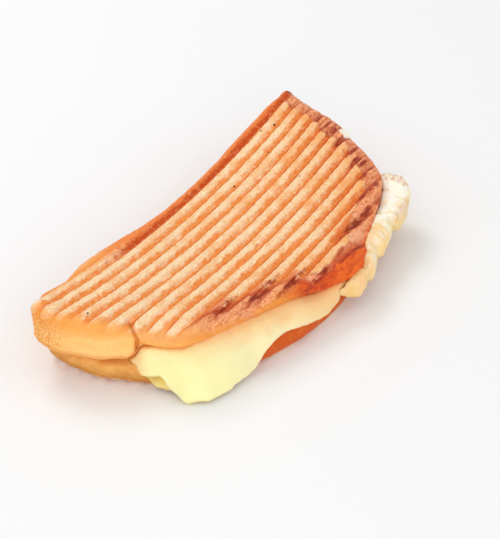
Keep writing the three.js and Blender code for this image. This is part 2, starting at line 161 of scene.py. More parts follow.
# %% Steps and bells
def step(values, start, end):
    """Smooth step from 0 at start to 1 at end."""
    share = np.clip((values - start) / (end - start), 0, 1)
    return share * share * (3 - 2 * share)


def hump(values, centre, width):
    """A soft bell of height 1."""
    return np.exp(-(((values - centre) / width) ** 2))


def bell_at(along, across, spot, width):
    """A soft bell round one spot on the layout."""
    return hump(np.hypot(along - spot[0], across - spot[1]), 0, width)


print("half way up a step:", step(0.5, 0, 1), "one width off a bell:", hump(1, 0, 1).round(2))

# %% [markdown]
# ## Distances on the layout
# The rest is measured from the grooves, from paths through a few corners, and from soft oval
# spots. A path is taken run by run, and each place is compared with its nearest point on each.

# %% Grooves, paths and spots
SPOT_BORDER = 1.35
SPOT_CORE = 0.45


def groove_distance(across):
    """How far the middle of the nearest pressed groove is."""
    turns = (across - FIRST_GROOVE) / RIB_PITCH
    return np.abs(turns - np.round(turns)) * RIB_PITCH


def off_runs(places, path):
    """For each straight run of a path, the run itself and how far off it places are."""
    corners = np.array(path, float)
    for start, end in zip(corners[:-1], corners[1:]):
        run = end - start
        share = np.clip((places - start) @ run / (run @ run), 0, 1)
        yield run, places - start - share[:, None] * run


def path_distance(places, path):
    """How far places are from a path through a few corners, all in the same numbers."""
    return np.min([np.linalg.norm(off, axis=1) for run, off in off_runs(places, path)], axis=0)


def covered(along, across, spots):
    """How far places are covered by soft oval spots on the layout, from 0 to 1."""
    cover = np.zeros(len(along))
    for spot_along, spot_across, half_length, half_width in spots:
        reach = np.hypot((along - spot_along) / half_length, (across - spot_across) / half_width)
        cover = np.maximum(cover, step(reach, SPOT_BORDER, SPOT_CORE))
    return cover


print("the top of a ridge is", groove_distance(FIRST_GROOVE + RIB_PITCH / 2), "mm from a groove")

# %% [markdown]
# ## Working on a copy of a solid
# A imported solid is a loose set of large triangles. Its copy is merged, remeshed into small even
# faces with the Remesh modifier, and smoothed, as clay is before it is worked. After that, each
# point can be pushed out or in along its own normal. Sculpting by hand couldn't be run again.

# %% Choosing and modifying
def choose(*pieces):
    """Selects pieces alone, and makes the first of them active."""
    bpy.ops.object.select_all(action="DESELECT")
    for piece in pieces:
        piece.select_set(True)
    bpy.context.view_layer.objects.active = pieces[0]


def apply_modifier(piece, kind, **settings):
    """Adds a modifier to a piece and applies it."""
    choose(piece)
    bpy.ops.object.modifier_add(type=kind)
    modifier = piece.modifiers[-1]
    for key, value in settings.items():
        setattr(modifier, key, value)
    bpy.ops.object.modifier_apply(modifier=modifier.name)


def smooth(piece, rounds):
    """Moves each point half way to the middle of its neighbours, a few rounds long."""
    apply_modifier(piece, "SMOOTH", factor=0.5, iterations=rounds)


print("solids to copy:", len(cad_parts))

# %% Remeshed copies
MERGE_DISTANCE = 0.001 * MM


def remesh(piece, grain_size, smoothing):
    """Gives a piece small even faces all over, and softens its edges."""
    apply_modifier(piece, "REMESH", mode="VOXEL", voxel_size=grain_size * MM)
    smooth(piece, smoothing)
    bpy.ops.object.shade_smooth()


def clay(node, name, grain_size, smoothing):
    """A copy of a solid in small even faces, with its edges softened."""
    piece = bpy.data.objects.new(name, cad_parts[node].data.copy())
    bpy.context.collection.objects.link(piece)
    choose(piece)
    bpy.ops.object.mode_set(mode="EDIT")
    bpy.ops.mesh.select_all(action="SELECT")
    bpy.ops.mesh.remove_doubles(threshold=MERGE_DISTANCE)
    bpy.ops.object.mode_set(mode="OBJECT")
    piece.data.materials.clear()
    remesh(piece, grain_size, smoothing)
    print(name, "has", len(piece.data.polygons), "faces")
    return piece


loose = {name: len(solid.data.polygons) for name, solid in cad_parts.items()}
print("loose triangles in the solids:", loose)

# %% [markdown]
# ## Moving points and keeping numbers
# Numpy reads all the points of a mesh at once, which is quick. A push moves each point along its
# own normal. What was measured is kept on the points, because a finish reads it again later.

# %% Points
def points_of(piece):
    """The places of all points, one row each."""
    points = np.empty(3 * len(piece.data.vertices))
    piece.data.vertices.foreach_get("co", points)
    return points.reshape(-1, 3)


def normals_of(piece):
    """The way that the surface faces at each point."""
    normals = np.empty(3 * len(piece.data.vertices))
    piece.data.vertices.foreach_get("normal", normals)
    return normals.reshape(-1, 3)


def set_points(piece, points):
    """Puts all points at new places."""
    piece.data.vertices.foreach_set("co", points.ravel())
    piece.data.update()


def push(piece, heights):
    """Moves each point along its normal, by millimetres."""
    set_points(piece, points_of(piece) + normals_of(piece) * heights[:, None] * MM)


def keep(piece, **numbers):
    """Stores numbers for each point, under the names by which a finish reads them."""
    for name, values in numbers.items():
        attribute = piece.data.attributes.new(name, "FLOAT", "POINT")
        attribute.data.foreach_set("value", values.astype(np.float32))
    print(piece.name, "keeps", ", ".join(numbers))


print("loose points in the cheese solid:", len(points_of(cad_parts["cheese_layer"])))

# %% [markdown]
# ## Lumps
# Crumb, blisters and folds are all uneven in the same way, only at other sizes. One kind of
# smooth noise makes them all, stretched along the ribs or down the side as each needs. The
# Displace modifier could do it too, but heights in Python are easier to mask and add up.

# %% Lumps
def lumps(places, size, octaves=2, seed=0.0):
    """Smooth noise from about -1 to 1, with lumps of a size in millimetres."""
    scaled = places / size + seed
    return np.array([noise.fractal(Vector(p), 1.0, 2.0, octaves) for p in scaled])


print("lumps at three places:", lumps(np.diag([1.0, 2.0, 3.0]), 4).round(2))

# %% [markdown]
# ## Where the ribs end
# The grill only presses the flat of the bread. Past the ends of the ribs lies a band of blistered
# crust, and beyond that band the smooth side of the crust turns down. Two lines in the layout
# mark where each begins, and each point gets its distance past both.

# %% Lines on the layout
RIB_ENDS = [
    (5, -6), (3.5, 2), (2.6, 8), (2.6, 15), (3.2, 21), (6, 27), (9, 35.5), (13.5, 43), (15, 50.5),
    (16, 55), (20, 62), (26, 68.5), (45, 70.5), (57, 75), (70, 77), (80, 82), (86, 84), (95, 89.5),
    (100, 91.5), (107, 96.5), (120, 97.5), (136, 96.5), (140, 93), (148, 90), (158, 87),
    (175, 84), (182, 79), (188, 75), (190, 70), (194, 64), (200, 60), (203, 56), (203.5, 50),
    (205, 42), (209, 36), (211, 33), (214, 28), (215.5, 20), (216.5, 15), (218, 11), (220, -4),
]
BAND_ENDS = [
    (-6, 62), (18, 62), (24, 71), (30, 77.5), (38, 82), (50, 86.5), (62, 90), (75, 92.6),
    (97, 92.4), (99, 98), (113, 99), (137, 100), (147, 101), (150, 106), (240, 106),
]


def past_line(along, across, line):
    """How far places lie past a line, and less than zero before it."""
    nearest = np.full(len(along), np.inf)
    side = np.ones(len(along))
    for run, off in off_runs(np.stack([along, across], axis=1), line):
        away = np.hypot(off[:, 0], off[:, 1])
        closer = away < nearest
        nearest = np.where(closer, away, nearest)
        side = np.where(closer, np.sign(run[0] * off[:, 1] - run[1] * off[:, 0]), side)
    return nearest * side


print("corners on the two lines:", len(RIB_ENDS), "and", len(BAND_ENDS))

# %% [markdown]
# ## The top slice
# Its pressed face has broad pale ridges with pores, and narrow grooves. Past the ridge ends the
# crust is a little lower, blistered by the heat, and scorched where the hot ribs still touched
# it. The near end is a smooth pillow of crust, with a deep crease where the slice folded.

# %% Marks on the top slice
SCORCHES = [
    # along, across, half the length, half the width
    (54, 74.2, 15, 1.6), (77, 81.8, 18, 2.0), (92, 89.8, 14, 1.5), (104, 97.5, 14, 1.2),
    (134, 100.8, 16, 1.2), (156, 91.8, 24, 2.0), (176, 85.5, 14, 1.8), (192.5, 68.7, 8, 1.7),
    (199, 62.8, 8, 2.0), (211, 45.3, 9, 2.5), (203, 53.7, 8, 2.4), (211, 40.5, 8, 1.5),
    (187, 78, 9, 1.7), (194, 73, 7, 1.4), (214, 34, 6, 1.4), (216, 25, 4, 1.1),
]
CHARRED_CORNER = [(232, 3, 6, 8)]
WARM_SPOTS = [
    (52, 71.5, 13, 3), (73, 79, 14, 3), (93, 87, 10, 3.5), (150, 89.5, 22, 3), (185, 80, 7, 3),
    (13, 47, 5.5, 3.5), (4, 25, 8, 5), (10, 37, 6, 4),
]
# Pink patches of painted sheen on the band.
SHEEN_SPOTS = [(106, 95.5, 8, 2.6), (143, 96.5, 7, 3)]
CREASE = [
    # along, across, deep
    (21.2, 46.5, 2.4), (18.5, 48.4, 2.0), (17.3, 50.4, 3.4), (16.5, 51.9, 5.1),
    (16.3, 53.1, 7.2), (18.4, 52.6, 11.1), (20.7, 51.6, 15.2), (19.8, 51.8, 16.9),
    (19.1, 51.2, 18.4), (18.5, 49.6, 20.9),
]
print("scorches:", len(SCORCHES), "warm spots:", len(WARM_SPOTS), "greasy:", len(SHEEN_SPOTS))

# %% [markdown]
# ## The parts of the pressed face
# The copy is measured first. Four masks from 0 to 1 say how much each place belongs to the flat
# under the ribs, the blistered band, the pillow, and the scores that the ribs left on the band.

# %% Measure the top slice
TOP_GRAIN = 0.78
TOP_SMOOTHING = 3
GROOVE_WIDTH = 1.5
CREASE_WIDTH = 1.5

top = clay("top_slice", "top_toast", TOP_GRAIN, TOP_SMOOTHING)
along, across, deep = flat(points_of(top))
past = past_line(along, across, RIB_ENDS)
outer = past_line(along, across, BAND_ENDS)
up = normals_of(top)[:, 2]
face = step(up, 0.35, 0.8) * step(deep, 8, 5)
groove = hump(groove_distance(across), 0, GROOVE_WIDTH)
places = np.stack([along, across, deep], axis=1)
crease = hump(path_distance(places, CREASE), 0, CREASE_WIDTH)

pressed = face * step(past, 0.6, -0.6)
band = face * step(past, -0.4, 1.4)
pillow = step(along, 34, 22) * step(across, 56, 51) * (1 - pressed)
scored = band * step(past, 16, 4) * (1 - pillow)
print("pressed:", pressed.mean().round(2), "band:", band.mean().round(2), "of all points")

# %% [markdown]
# ## Crumb, pores and blisters
# Four sorts of lumps, from fine crumb to a slow swell, are laid over those masks. The ridges get
# pores, the grooves stay smooth, the band blisters, and the crease is pressed in last.

# %% Relief of the top slice
GROOVE_DEEPER = 0.45
CRUMB_SIZE, CRUMB_HEIGHT = 1.1, 0.18
PORE_SIZE, PORE_DEPTH = 1.9, 0.36
BLISTER_SIZE, BLISTER_HEIGHT = 2.4, 0.28
PILLOW_BLISTERS = 0.1
SWELL_SIZE, SWELL_HEIGHT = 14, 0.25
BAND_DROP = 0.55
SCORE_WIDTH, SCORE_DEPTH = 0.9, 0.6
CREASE_DEPTH = 1.7

ragged = lumps(places * (0.35, 1, 1), CRUMB_SIZE, 2, 3.1)
pores = step(lumps(places * (0.8, 1, 1), PORE_SIZE, 2, 7.7), 0.12, 0.5)
blisters = lumps(places * (0.7, 1, 1), BLISTER_SIZE, 3, 1.3)
swell = lumps(places, SWELL_SIZE, 2, 5.9)

relief = CRUMB_HEIGHT * ragged - PORE_DEPTH * pores * (1 - groove) - GROOVE_DEEPER * groove
relief *= pressed
relief += SWELL_HEIGHT * swell * (1 - groove * pressed)
relief -= BAND_DROP * band * (1 - pillow)
relief += (band + 0.5 * step(deep, 2, 5)) * (1 - pillow) * BLISTER_HEIGHT * blisters
relief += PILLOW_BLISTERS * pillow * blisters
relief -= scored * SCORE_DEPTH * hump(groove_distance(across + 0.5 * swell), 0, SCORE_WIDTH)
relief -= CREASE_DEPTH * crease
print("the relief runs from", relief.min().round(1), "to", relief.max().round(1), "mm")

# %% [markdown]
# ## Corners
# Two corners of the slice were drawn out a little in the press, and the near end is tucked in
# under its edge. Each is one soft bell, so that it fades into the rest.

# %% Corners of the top slice
CORNER = (230, 3)
CORNER_REACH = 1.6
NEAR_CORNER = (2, 5)
NEAR_CORNER_REACH = 2.3
CORNER_WIDTH = 7
NEAR_TUCK = 1.1
TUCK_DEEP, TUCK_WIDTH = 12, 5

relief += CORNER_REACH * bell_at(along, across, CORNER, CORNER_WIDTH)
near_corner = bell_at(along, across, NEAR_CORNER, CORNER_WIDTH)
relief += NEAR_CORNER_REACH * near_corner * step(deep, 7, 1)
tuck = NEAR_TUCK * hump(deep, TUCK_DEEP, TUCK_WIDTH)
relief -= tuck * step(along, 10, 3) * step(across, 26, 14)
push(top, relief)

keep(top, past=past, outer=outer, deep=deep, pillow=pillow, crease=crease)
marks = {"scorched": SCORCHES, "charred": CHARRED_CORNER}
marks.update({"warm": WARM_SPOTS, "greasy": SHEEN_SPOTS})
keep(top, **{name: covered(along, across, spots) for name, spots in marks.items()})

# %% [markdown]
# ## The bottom slice
# Only its crust is seen from above. Its underside was pressed as well, so it has the same ribs,
# and the crust above them is folded in soft, uneven waves.

# %% Shape the bottom slice
BOTTOM_GRAIN = 0.85
BOTTOM_SMOOTHING = 5
WAVE_SIZE, WAVE_HEIGHT = 9, 0.4
PIMPLE_SIZE, PIMPLE_HEIGHT = 2.1, 0.12
UNDER_GROOVE_DEPTH = 0.35

bottom = clay("bottom_slice", "bottom_toast", BOTTOM_GRAIN, BOTTOM_SMOOTHING)
along, across, deep = flat(points_of(bottom))
height = points_of(bottom)[:, 2] / MM
facing = normals_of(bottom)[:, 2]
under = step(-facing, 0.35, 0.8)
wall = step(np.abs(facing), 0.9, 0.6)
places = np.stack([along, across, deep], axis=1)
groove = hump(groove_distance(across), 0, GROOVE_WIDTH)
clear = step(height, 0.2, 1.2)

relief = WAVE_HEIGHT * wall * lumps(places * (0.6, 1, 1.4), WAVE_SIZE, 2, 2.2)
relief += PIMPLE_HEIGHT * wall * lumps(places, PIMPLE_SIZE, 3, 8.1)
relief -= under * UNDER_GROOVE_DEPTH * groove
push(bottom, relief * np.maximum(clear, groove * under))

keep(bottom, height=height, face=under)
print("the bottom slice reaches", height.max().round(1), "mm up")

# %% [markdown]
# ## The melted cheese
# Soft cheese has no sharp edge anywhere: it swells, sags and gathers in faint folds that run
# the way it flowed. It also sticks to the bread, so its copy is grown a little to meet it, then
# remeshed and smoothed once more, which melts the creases of the solid together.

# %% Soft cheese
FIRST_SMOOTHING = 4


def melted(node, name, grain_size, growth, smoothing):
    """A copy of a solid that is swollen a little and then smoothed like something melted."""
    piece = clay(node, name, grain_size, FIRST_SMOOTHING)
    push(piece, growth(*flat(points_of(piece)), points_of(piece)[:, 2] / MM))
    remesh(piece, grain_size, smoothing)
    return piece


crust_points = points_of(top)
crust_tree = kdtree.KDTree(len(crust_points))
for number, point in enumerate(crust_points):
    crust_tree.insert(point, number)
crust_tree.balance()
print("points of the top slice that gaps are measured from:", len(crust_points))


def crust_gap(places):
    """How far each place is from the top slice."""
    return np.array([crust_tree.find(place)[2] for place in places]) / MM


# %% [markdown]
# ## The near edge of the cheese
# At the near corner the cheese came down as a thick sheet. Its edge runs down the wall of the
# bread in a curve, and below it only a thin golden skirt is left, set in a little. A boolean cut
# would leave a hard step there, so the curve only steers a soft push.

# %% Swell the cheese layer
CHEESE_GRAIN = 0.85
CHEESE_GROWTH = 0.6
CHEESE_SMOOTHING = 9


def cheese_growth(along, across, deep, height):
    """The cheese meets the bread, except deep in the near seam and right at the bottom."""
    outside = np.maximum(step(across, 47, 55), step(along, 40, 60))
    return CHEESE_GROWTH * outside * step(height, 0.2, 1.5)


cheese = melted("cheese_layer", "melted_cheese", CHEESE_GRAIN, cheese_growth, CHEESE_SMOOTHING)
along, across, deep = flat(points_of(cheese))
height = points_of(cheese)[:, 2] / MM
places = np.stack([along, across, deep], axis=1)
gap = crust_gap(points_of(cheese))
print("share of the cheese within a millimetre of the crust:", (gap < 1).mean().round(2))

# %% Sheet, skirt and tip
FLOW_SIZE, FLOW_HEIGHT = 9, 0.22
SHEET_EDGE_ACROSS = [54, 57, 61, 64, 66, 68, 72, 76, 80]
SHEET_EDGE_HEIGHT = [8, 8.5, 9, 10, 8.3, 5.1, 3.5, 2, 0]
SKIRT_DEPTH = 1.6
SHEET_LIP = 0.7
TIP = (21.8, 80)
TIP_REACH = 1.2
TIP_WIDTH = 4
STICKING = 0.6
LOWEST = 0.05

near_wall = step(along, 33, 27) * step(across, 53, 57) * step(across, 82, 79)
below_edge = np.interp(across, SHEET_EDGE_ACROSS, SHEET_EDGE_HEIGHT) - height
skirt = near_wall * step(below_edge, -0.4, 0.9)
tip = bell_at(along, across, TIP, TIP_WIDTH)

relief = FLOW_HEIGHT * lumps(places * (1, 0.3, 0.35), FLOW_SIZE, 2, 4.2)
relief += TIP_REACH * tip
relief += SHEET_LIP * near_wall * hump(below_edge, -1.6, 1.4)
relief += STICKING * step(gap, 2.4, 0.4) * step(across, 55, 60)
push(cheese, relief * step(height, 0.0, 1.5) - SKIRT_DEPTH * skirt)
smooth(cheese, 4)
lowest = points_of(cheese)
lowest[:, 2] = lowest[:, 2].clip(LOWEST * MM)
set_points(cheese, lowest)

keep(cheese, height=height, along=along, across=across, skirt=skirt, gap=gap)

# %% [markdown]
# ## The folded cheese
# One slice of cheese slipped out at the far side before it melted. It hangs in soft pleats,
# one beside the other, with thin edges that the heat has just begun to brown. Sheets modelled
# one by one look stiff, so the solid swells until its gaps close, and is then shrunk back.

# %% Swell the fold
FOLD_GRAIN = 0.6
FOLD_GROWTH = 1.8
FOLD_SMOOTHING = 6
FOLD_SHRINKAGE = 1.4


def fold_growth(along, across, deep, height):
    """The fold swells until the gaps between its pleats close."""
    return np.full(len(along), FOLD_GROWTH)


fold = melted("cheese_fold", "folded_cheese", FOLD_GRAIN, fold_growth, FOLD_SMOOTHING)
push(fold, np.full(len(fold.data.vertices), -FOLD_SHRINKAGE))
along, across, deep = flat(points_of(fold))
places = np.stack([along, across, deep], axis=1)
gap = crust_gap(points_of(fold))
print("the fold hangs from", deep.min().round(1), "to", deep.max().round(1), "mm below the top")

# %% [markdown]
# ## Pleats and drips
# The pleats sway as they run down, and fade in and out, because no pleat of soft cheese is
# straight. Its lower edge sags in drips, and a last smoothing takes the points off them.

# %% Pleats
PLEATS = [131, 141, 147, 157, 171, 186]
PLEAT_WIDTH = 1.1
PLEAT_DEPTH = 0.9
SWAY_SIZE, SWAY = 9, 3.5
RIPPLE_SIZE, RIPPLE_HEIGHT = 4, 0.3
CAP_SIZE, CAP_HEIGHT = 1.8, 0.5

swayed = along + SWAY * lumps(places, SWAY_SIZE, 2, 6.1)
pleat = hump(np.abs(swayed[:, None] - PLEATS).min(axis=1), 0, PLEAT_WIDTH)
pleat *= step(lumps(places, 8, 2, 2.7), -0.35, 0.15)
browned_top = step(swayed, 191, 196) * step(deep, 12, 9)
relief = RIPPLE_HEIGHT * lumps(places * (1, 0.3, 0.3), RIPPLE_SIZE, 3, 9.3) - PLEAT_DEPTH * pleat
relief += browned_top * CAP_HEIGHT * lumps(places, CAP_SIZE, 3, 3.3)
relief += 2 * STICKING * step(gap, 3, 0.8)
push(fold, relief)
print("pleats:", len(PLEATS), "share of the fold in them:", pleat.mean().round(2))

# %% Drips
DRIP_SIZE, DRIP = 5, 2.2

hanging = points_of(fold)
run = np.stack([along, 0 * along, 0 * along], axis=1)
hanging[:, 2] -= DRIP * MM * step(deep, 11, 18) * (0.4 + 0.9 * lumps(run, DRIP_SIZE, 2, 8.8))
set_points(fold, hanging)
smooth(fold, 2)
keep(fold, pleat=pleat, deep=deep, along=along, across=across, gap=gap, browned_top=browned_top)

# %% [markdown]
# ## Crumbs and a bead of cheese
# A few burnt crumbs stick to the ridges. One is modelled as a small ball, flattened and knocked
# out of shape, and the rest are made in the same way. At the far end a bead of cheese has
# squeezed out over the crust.

# %% A small ball on the crust
SINK = 0.3
SMALL_LUMPS = 0.35
TOO_DEEP = 3


def lump_at(along, across, radius, lowest_level, squash):
    """A small knocked ball on the top slice, at the nearest place that isn't too deep."""
    top_along, top_across, top_deep = flat(points_of(top))
    off = np.hypot(top_along - along, top_across - across) + TOO_DEEP * (top_deep > lowest_level)
    ground = points_of(top)[off.argmin()]
    bpy.ops.mesh.primitive_ico_sphere_add(subdivisions=3, radius=radius * MM, location=ground)
    ball = bpy.context.active_object
    ball.scale = squash
    ball.location.z -= SINK * radius * MM
    bpy.ops.object.transform_apply(location=True, rotation=True, scale=True)
    shaken = lumps(points_of(ball) / MM, radius * 1.1, 2, along)
    push(ball, SMALL_LUMPS * radius * shaken)
    bpy.ops.object.shade_smooth()
    return ball


print("a small ball sinks in by", SINK, "of its radius")

# %% Crumbs
CRUMBS = [
    # along, across, radius
    (146.5, 23, 0.95), (178.5, 23.3, 0.75), (199.5, 14.8, 0.8), (201, 9.6, 0.6),
    (191, 11.8, 0.55), (12, 28, 0.6), (130, 32, 0.5), (168, 49, 0.5), (96, 61, 0.45),
]
CRUMB_LEVEL = 3
CRUMB_SQUASH = (1.2, 0.9, 0.55)

crumbs = [lump_at(*crumb, CRUMB_LEVEL, CRUMB_SQUASH) for crumb in CRUMBS]
choose(*crumbs)
bpy.ops.object.join()
burnt_crumbs = bpy.context.active_object
burnt_crumbs.name = "burnt_crumbs"
print("crumbs:", len(CRUMBS), "faces:", len(burnt_crumbs.data.polygons))

# %% Bead
BEAD = (211.5, 50.5, 3.6)  # along, across, radius
BEAD_LEVEL = 3.4
BEAD_SQUASH = (0.75, 1.1, 0.6)

bead = lump_at(*BEAD, BEAD_LEVEL, BEAD_SQUASH)
bead.name = "cheese_bead"
print("bead faces:", len(bead.data.polygons))

# %% [markdown]
# ## Finishes from numbers
# A finish is a network of nodes. Writing it as plain arithmetic is easier to read, so a small
# class wraps a socket, and each operator adds the Math node that does it.

# %% Colours as light
def colour(red, green, blue):
    """A colour as it is seen on a screen, from 0 to 255, as the light that a finish needs."""
    light = []
    for value in (red, green, blue):
        value /= 255
        light.append(value / 12.92 if value <= 0.04045 else ((value + 0.055) / 1.055) ** 2.4)
    return (*light, 1.0)


print("middle grey gives back", round(colour(128, 128, 128)[0], 3), "of the light")

# %% Shader maths
def say_what_it_can(kind):
    """Prints the methods of a class."""
    print(kind.__name__, "can do:", ", ".join(name for name in vars(kind) if name[0] != "_"))


class Value:
    """A number or colour that runs through a finish."""

    def __init__(self, finish, socket):
        self.finish = finish
        self.socket = socket

    def maths(self, operation, *others):
        """A Math node on this value and the others."""
        return self.finish.node("ShaderNodeMath", {"operation": operation}, [self, *others])

    def __add__(self, other):
        return self.maths("ADD", other)

    def __sub__(self, other):
        return self.maths("SUBTRACT", other)

    def __mul__(self, other):
        return self.maths("MULTIPLY", other)

    def __truediv__(self, other):
        return self.maths("DIVIDE", other)

    __radd__ = __add__
    __rmul__ = __mul__

    def __rsub__(self, other):
        return (self * -1.0) + other

    def step(self, start, end):
        """Smooth step from 0 at start to 1 at end."""
        settings = {"interpolation_type": "SMOOTHSTEP"}
        if start < end:
            return self.finish.node("ShaderNodeMapRange", settings, [self, start, end, 0.0, 1.0])
        return self.finish.node("ShaderNodeMapRange", settings, [self, end, start, 1.0, 0.0])

    def size(self):
        """The value without its sign."""
        return self.maths("ABSOLUTE")

    def most(self, other):
        """The larger of two values."""
        return self.maths("MAXIMUM", other)


say_what_it_can(Value)

# %% [markdown]
# ## A finish and its nodes
# One method adds any node at all: it takes the type, the settings and the inputs. The others are
# only short names for what a finish needs often.

# %% A finish
class Finish:
    """A material, and the few ways in which its nodes are added."""

    def __init__(self, name):
        self.material = bpy.data.materials.new(name)
        self.material.use_nodes = True
        self.tree = self.material.node_tree
        self.surface = self.tree.nodes["Principled BSDF"]
        self.place = self.node("ShaderNodeTexCoord", output="Object")

    def node(self, kind, settings=None, inputs=(), output=0):
        """Adds a node. Its inputs come in a list, or in a dict by name or number."""
        node = self.tree.nodes.new(kind)
        for key, value in (settings or {}).items():
            setattr(node, key, value)
        pairs = inputs.items() if isinstance(inputs, dict) else enumerate(inputs)
        for key, value in pairs:
            self.feed(node.inputs[key], value)
        return Value(self, node.outputs[output])

    def feed(self, socket, value):
        """Links a value to a socket, or sets a number that is the same all over."""
        if isinstance(value, Value):
            self.tree.links.new(value.socket, socket)
        else:
            socket.default_value = value

    def stored(self, name):
        """A number that was kept on the points of the mesh."""
        return self.node("ShaderNodeAttribute", {"attribute_name": name}, output="Fac")

    def mix(self, share, first, second):
        """Goes from the first colour to the second as share goes from 0 to 1."""
        inputs = {0: share, 6: first, 7: second}
        return self.node("ShaderNodeMix", {"data_type": "RGBA"}, inputs, output=2)

    def set(self, **values):
        """Sets sockets of the surface by name, with _ for a space."""
        for name, value in values.items():
            self.feed(self.surface.inputs[name.replace("_", " ")], value)

    def on(self, piece):
        """Puts the finish on a piece."""
        piece.data.materials.append(self.material)
        self.say("for " + piece.name)

    def say(self, done):
        """Prints how far the finish has come."""
        print(self.material.name, done + ":", len(self.tree.nodes), "nodes")


say_what_it_can(Finish)

# %% [markdown]
# ## A finish for food
# Food needs more: noise with a size in millimetres, small cells, fine relief, and the layout of
# the sandwich, worked out from the place of each point as the relief was.

# %% A food finish
class FoodFinish(Finish):
    """A finish that knows the layout of the sandwich."""

    def noise(self, size, detail=2.0, stretch=(1.0, 1.0, 1.0), rough=0.5):
        """Noise about 0.5, with lumps of a size in millimetres."""
        scale = tuple(share / (size * MM) for share in stretch)
        place = self.node("ShaderNodeVectorMath", {"operation": "MULTIPLY"}, [self.place, scale])
        inputs = {"Vector": place, "Scale": 1.0, "Detail": detail, "Roughness": rough}
        return self.node("ShaderNodeTexNoise", None, inputs)

    def across(self):
        """How far across the ribs, in millimetres."""
        split = self.node("ShaderNodeSeparateXYZ", None, [self.place], output="Y")
        return EDGE_Y - split / MM

    def along(self):
        """How far along the ribs, in millimetres, near enough for a colour."""
        split = self.node("ShaderNodeSeparateXYZ", None, [self.place], output="X")
        return split / MM + (BEND_ALONG - BEND_X)

    def cells(self, size):
        """How far each place is from the middle of its own cell, in cells."""
        inputs = {"Vector": self.place, "Scale": 1 / (size * MM)}
        return self.node("ShaderNodeTexVoronoi", None, inputs)

    def bump(self, height, distance, strength=1.0):
        """Sets fine relief. The height is in units of the distance, which is in millimetres."""
        inputs = {"Strength": strength, "Distance": distance * MM, "Height": height}
        self.feed(self.surface.inputs["Normal"], self.node("ShaderNodeBump", None, inputs))


say_what_it_can(FoodFinish)

# %% [markdown]
# ## Toasted bread
# The pale ridges, the orange grooves and the brown flecks all come from one number: how far to
# one side of the nearest groove a place is. Along the front side of each groove runs a thin dark
# line of painted shadow, and the orange that the hot rib left smears out behind it. Noise makes
# every border ragged. An image would blur from close by, and this doesn't.

# %% Ridges and grooves
CREAM = colour(255, 228, 186)
TAN = colour(250, 180, 114)
PORE_GREY = colour(214, 166, 120)
GROOVE_ORANGE = colour(249, 153, 70)
GROOVE_BROWN = colour(224, 108, 38)
GROOVE_RED = colour(200, 80, 28)
SHADOW_AND_SCORE_LINE_OFFSET = 1.0
GROOVE_REACH = 2.4
GRIT_SIZE = 0.9


def beside_line(across):
    """How far to one side of the nearest line of painted shadow in a groove, in millimetres."""
    turns = (across - (FIRST_GROOVE + SHADOW_AND_SCORE_LINE_OFFSET)) / RIB_PITCH
    return (turns - turns.maths("ROUND")) * RIB_PITCH


def pressed_bread(finish, browner):
    """The colour of a pressed face: ridges, grooves, and a painted shadow line in each groove."""
    ragged = finish.noise(1.5, 3.0, (0.45, 1.0, 1.0)) - 0.5
    blots = finish.noise(2.6, 4.0, (0.7, 1.0, 1.0), 0.6) - 0.5
    sway = finish.noise(15, 2.0, (0.5, 1.0, 1.0)) - 0.5
    off = beside_line(finish.across()) + ragged * 1.8
    smear = (off + sway * 4.0 + blots * 4.5 + GROOVE_REACH).step(-1.0, 1.3) * off.step(1.6, 0.5)
    broken = finish.noise(6, 2.0, (0.4, 1.0, 1.0)).step(0.25, 0.5)
    # The thin dark line along the front side of each groove is painted shadow.
    line = (off - 0.3).size().step(1.0, 0.2) * broken
    grit = finish.noise(GRIT_SIZE, 2.0)
    patches = finish.noise(6, 3.0, (0.6, 1.0, 1.0)).step(0.44, 0.66)
    ridge = finish.mix(grit.step(0.42, 0.62) * 0.5 + patches * 0.45 + browner * 0.4, CREAM, TAN)
    ridge = finish.mix(finish.noise(1.2, 2.0).step(0.6, 0.7) * 0.4, ridge, PORE_GREY)
    low = finish.mix(browner * 0.55 + grit.step(0.45, 0.65) * 0.35, GROOVE_ORANGE, GROOVE_BROWN)
    low = finish.mix(grit.step(0.5, 0.35) * 0.3, low, TAN)
    return finish.mix(line * (browner * 0.2 + 0.7), finish.mix(smear, ridge, low), GROOVE_RED)


# Each dark line is painted shadow at the front side of its groove.
print("each burnt line is", SHADOW_AND_SCORE_LINE_OFFSET, "mm to the front of its groove")

# %% [markdown]
# ## The top crust
# The crust of the top slice is one finish, built up in steps, as a painter would. What every
# step needs comes first: the numbers kept on the points, the layout, and two sorts of noise that
# make borders ragged.

# %% Numbers for the crust
WOBBLE_SIZE = 3.5

crust = FoodFinish("ribbed_toast")
past = crust.stored("past")
outer = crust.stored("outer")
deep = crust.stored("deep")
on_pillow = crust.stored("pillow")
along = crust.along()
across = crust.across()
wobble = crust.noise(WOBBLE_SIZE, 3.0) - 0.5
grit = crust.noise(GRIT_SIZE, 3.0) - 0.5
crust.say("with its numbers")

# %% [markdown]
# ## Where it browned
# The far end and the ends of the ribs took more heat, so the whole pattern is browner there, with
# soft warm patches. The straight back edge was pressed hardest, and is orange and brown.

# %% Browning of the pressed face
SALMON = colour(250, 166, 112)
BACK_ORANGE = colour(244, 138, 68)
BACK_BROWN = colour(206, 82, 24)
WARM = colour(228, 110, 48)
NEAR_WARM = colour(250, 162, 76)

